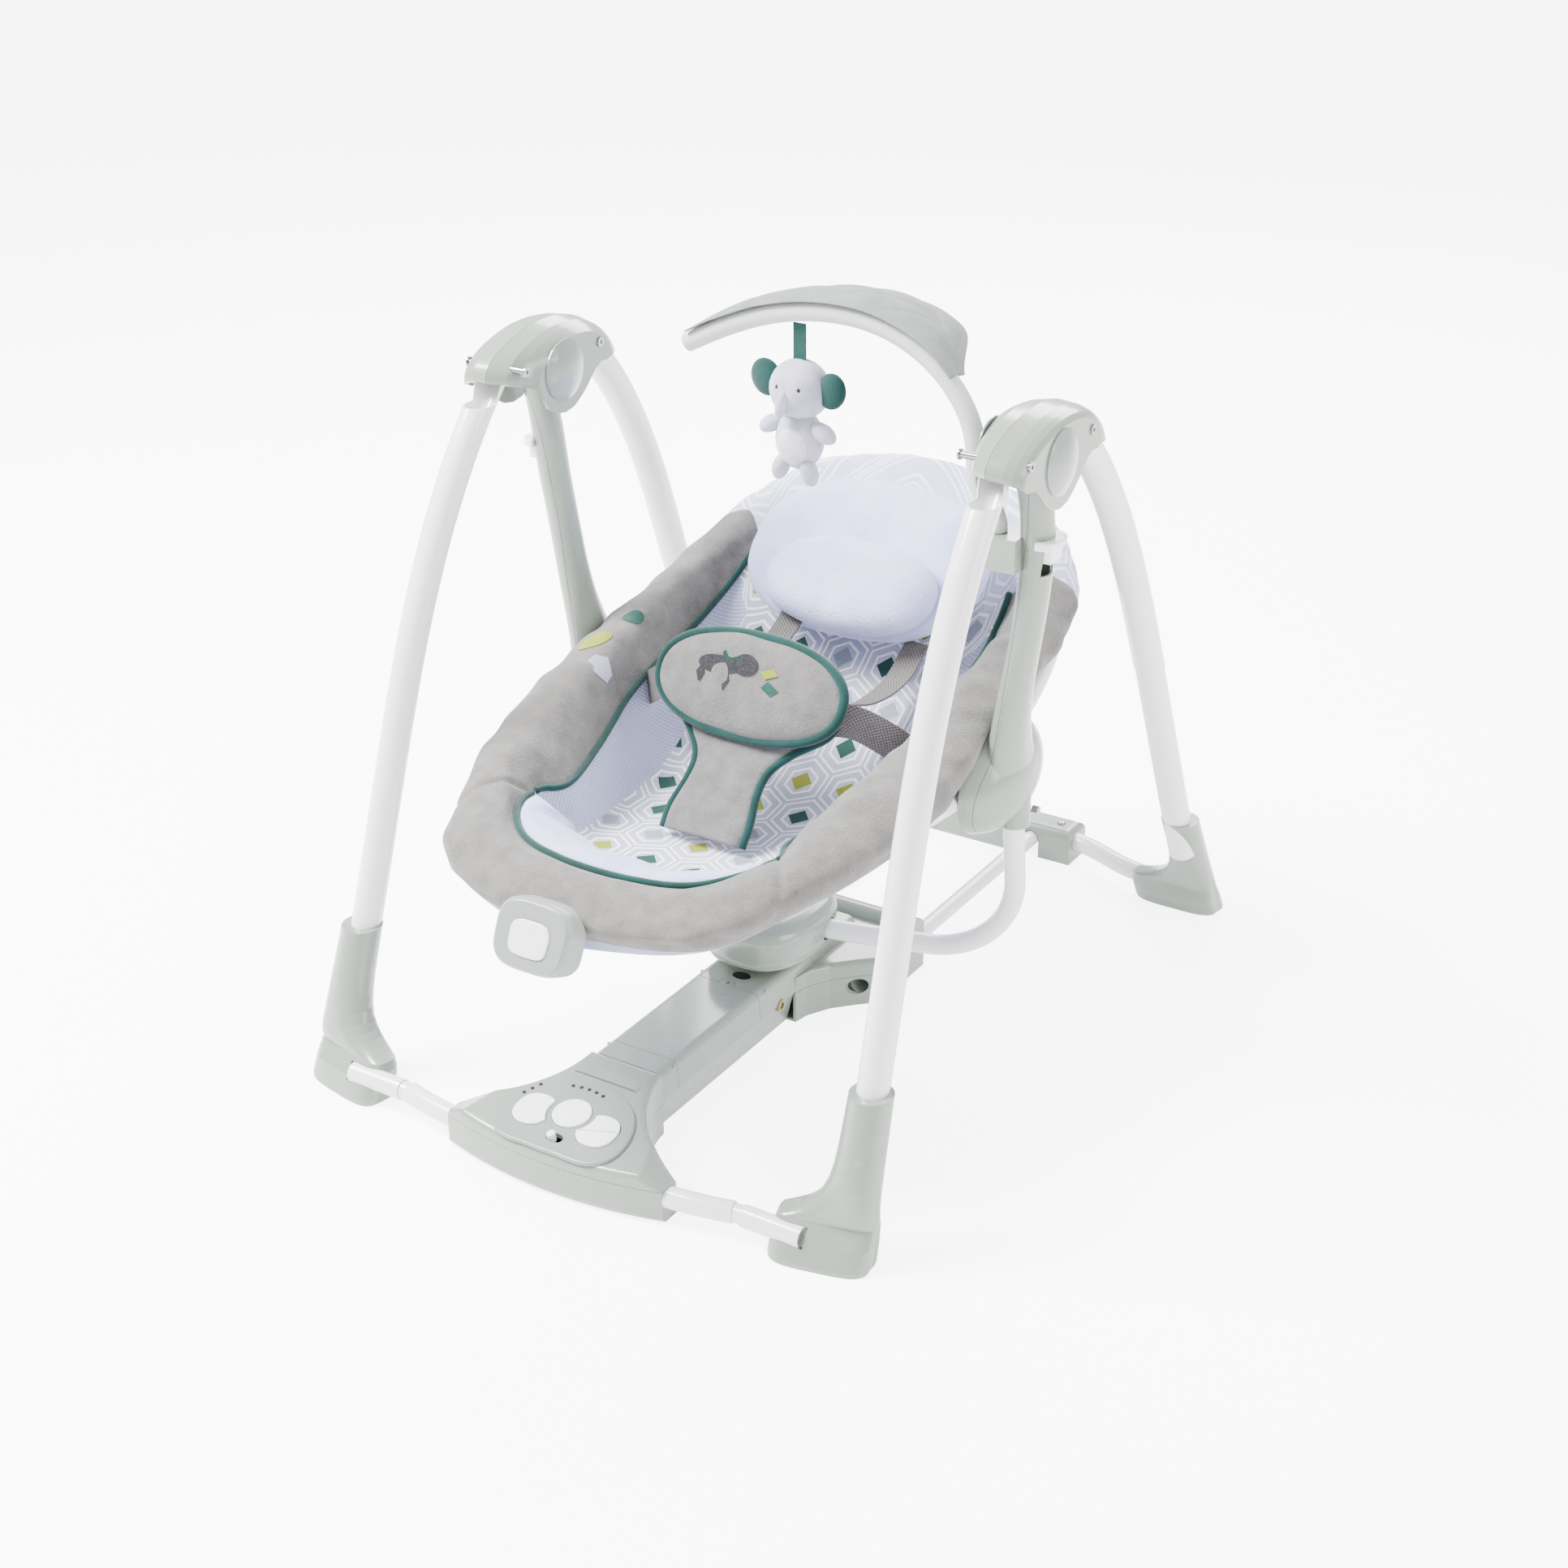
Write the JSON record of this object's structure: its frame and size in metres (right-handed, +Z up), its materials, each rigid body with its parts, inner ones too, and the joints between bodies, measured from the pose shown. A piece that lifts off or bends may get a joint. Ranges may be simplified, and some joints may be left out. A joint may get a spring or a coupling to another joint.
{
  "type": "baby swing",
  "caption": "Portable baby swing: A-frame legs under two rounded housings, swing arms, padded bucket seat, toy bar with hanging plush toy and a low powered base.",
  "frame": {"origin": "on the floor, midway between the left and right feet and below the seat", "axes": "+X toward the baby's left hand, -Y toward the control panel and the baby's feet, +Z up"},
  "size_m": [0.5794, 0.8014, 0.6806],
  "materials": {
    "tube_white": "gloss",
    "shell_grey": "satin",
    "shell_under": "matt",
    "cap_grey": "satin",
    "panel_white": "gloss",
    "key_teal": "gloss",
    "key_green": "gloss",
    "knob_grey": "satin",
    "light_red": "gloss",
    "window_dark": "gloss",
    "inlet_beige": "satin",
    "bolt_steel": "polished",
    "cell_case": "satin",
    "board_green": "satin",
    "slider_white": "satin",
    "velour_grey": "matt",
    "plush_lavender": "matt",
    "plush_grey": "matt",
    "webbing": "matt",
    "vib_grey": "satin",
    "vib_key": "satin",
    "bar_fabric": "matt",
    "leaf_fabric": "matt",
    "toy_fabric": "matt"
  },
  "bodies": {
    "base": {"base_lower_shell": "shell_under", "base_upper_shell": "shell_grey", "battery_door": "shell_grey", "batteries": "cell_case", "drive_electronics": "board_green", "sensor_window": "window_dark", "power_inlet": "inlet_beige", "control_panel": "panel_white", "indicator_lights": "light_red", "front_cross_tube": "tube_white"},
    "front_frame": {"front_foot_right": "shell_grey", "front_foot_left": "shell_grey", "front_leg_right": "tube_white", "front_leg_left": "tube_white", "front_stub_tubes": "tube_white", "housing_outer_right": "shell_grey", "housing_outer_left": "shell_grey", "housing_inner_right": "shell_grey", "housing_inner_left": "shell_grey", "pivot_caps": "cap_grey", "housing_bolts": "bolt_steel", "swing_axles": "bolt_steel"},
    "rear_frame": {"rear_foot_right": "shell_grey", "rear_foot_left": "shell_grey", "rear_legs_lower": "tube_white", "rear_leg_upper_right": "tube_white", "rear_leg_upper_left": "tube_white", "rear_cross_tubes": "tube_white", "rear_crossbar": "shell_grey"},
    "rear_rails": {"rear_rails": "tube_white"},
    "swing": {"arm_outer_right": "shell_grey", "arm_outer_left": "shell_grey", "arm_inner_right": "shell_grey", "arm_inner_left": "shell_grey", "swing_tube": "tube_white", "pod_shell": "shell_grey", "pod_underside": "shell_under", "indicator_windows": "light_red", "arm_screws": "bolt_steel", "toy_bar_socket": "shell_grey"},
    "seat": {"recline_discs": "slider_white", "seat_frame": "tube_white", "seat_pad": "velour_grey", "head_support": "plush_lavender", "crotch_pad": "plush_grey", "harness_straps": "webbing", "vibration_unit": "vib_grey"},
    "toy_bar": {"toy_bar": "bar_fabric", "toy_leaf": "leaf_fabric"},
    "plush_toy": {"plush_toy": "toy_fabric"},
    "vibration_button": {"vibration_button": "vib_key"},
    "centre_button": {"centre_button": "key_green"},
    "timer_button": {"timer_button": "key_teal"},
    "speed_up_button": {"speed_up_button": "panel_white"},
    "speed_down_button": {"speed_down_button": "panel_white"},
    "power_slider": {"power_slider": "knob_grey"},
    "crossbar_snap_right": {"crossbar_snap_right": "bolt_steel"},
    "crossbar_snap_left": {"crossbar_snap_left": "bolt_steel"},
    "lock_slider_right": {"lock_slider_right": "slider_white"},
    "lock_slider_left": {"lock_slider_left": "slider_white"}
  },
  "joints": [
    {"name": "frame_fold", "type": "hinge", "parent": "base", "child": "front_frame", "pos_m": [0, -0.286, 0.022], "axis": [1, 0, 0], "range_deg": [0, 10.9]},
    {"name": "rear_leg_fold", "type": "hinge", "parent": "front_frame", "child": "rear_frame", "pos_m": [0, 0.094, 0.594], "axis": [1, 0, 0], "range_deg": [-22.5, 0]},
    {"name": "rail_slide", "type": "slide", "parent": "base", "child": "rear_rails", "axis": [0, -1, 0], "range_m": [0, 0.24]},
    {"name": "swing_pivot", "type": "hinge", "parent": "front_frame", "child": "swing", "pos_m": [0, 0.04, 0.582], "axis": [1, 0, 0], "range_deg": [-15, 15]},
    {"name": "seat_recline", "type": "hinge", "parent": "swing", "child": "seat", "pos_m": [0, 0.084, 0.274], "axis": [1, 0, 0], "range_deg": [-12, 0]},
    {"name": "vibration_press", "type": "slide", "parent": "seat", "child": "vibration_button", "axis": [0, 0.9136, -0.4067], "range_m": [0, 0.002], "stiffness_N_per_m": 900},
    {"name": "toy_bar_turn", "type": "hinge", "parent": "swing", "child": "toy_bar", "pos_m": [0.216, 0.047, 0.5], "axis": [0, 0, 1], "range_deg": [-25, 25]},
    {"name": "toy_hang", "type": "hinge", "parent": "toy_bar", "child": "plush_toy", "pos_m": [0.02, 0.058, 0.6517], "axis": [1, 0, 0], "range_deg": [-25, 25]},
    {"name": "power_slide", "type": "slide", "parent": "base", "child": "power_slider", "axis": [1, 0, 0], "range_m": [0, 0.006]},
    {"name": "lock_slide_right", "type": "slide", "parent": "swing", "child": "lock_slider_right", "axis": [0, 0, -1], "range_m": [0, 0.012]},
    {"name": "lock_slide_left", "type": "slide", "parent": "swing", "child": "lock_slider_left", "axis": [0, 0, -1], "range_m": [0, 0.012]},
    {"name": "snap_press_right", "type": "slide", "parent": "rear_frame", "child": "crossbar_snap_right", "axis": [0, 0, -1], "range_m": [0, 0.002], "stiffness_N_per_m": 900},
    {"name": "snap_press_left", "type": "slide", "parent": "rear_frame", "child": "crossbar_snap_left", "axis": [0, 0, -1], "range_m": [0, 0.002], "stiffness_N_per_m": 900},
    {"name": "centre_press", "type": "slide", "parent": "base", "child": "centre_button", "axis": [0, 0.1736, -0.9848], "range_m": [0, 0.0012], "stiffness_N_per_m": 900},
    {"name": "timer_press", "type": "slide", "parent": "base", "child": "timer_button", "axis": [0, 0.1736, -0.9848], "range_m": [0, 0.0012], "stiffness_N_per_m": 900},
    {"name": "speed_up_press", "type": "slide", "parent": "base", "child": "speed_up_button", "axis": [0, 0.1736, -0.9848], "range_m": [0, 0.0012], "stiffness_N_per_m": 900},
    {"name": "speed_down_press", "type": "slide", "parent": "base", "child": "speed_down_button", "axis": [0, 0.1736, -0.9848], "range_m": [0, 0.0012], "stiffness_N_per_m": 900}
  ],
  "couplings": [
    {"joint": "rear_leg_fold", "follows": "frame_fold", "ratio": -2.05},
    {"joint": "rail_slide", "follows": "frame_fold", "m_per_rad": 1.251}
  ]
}
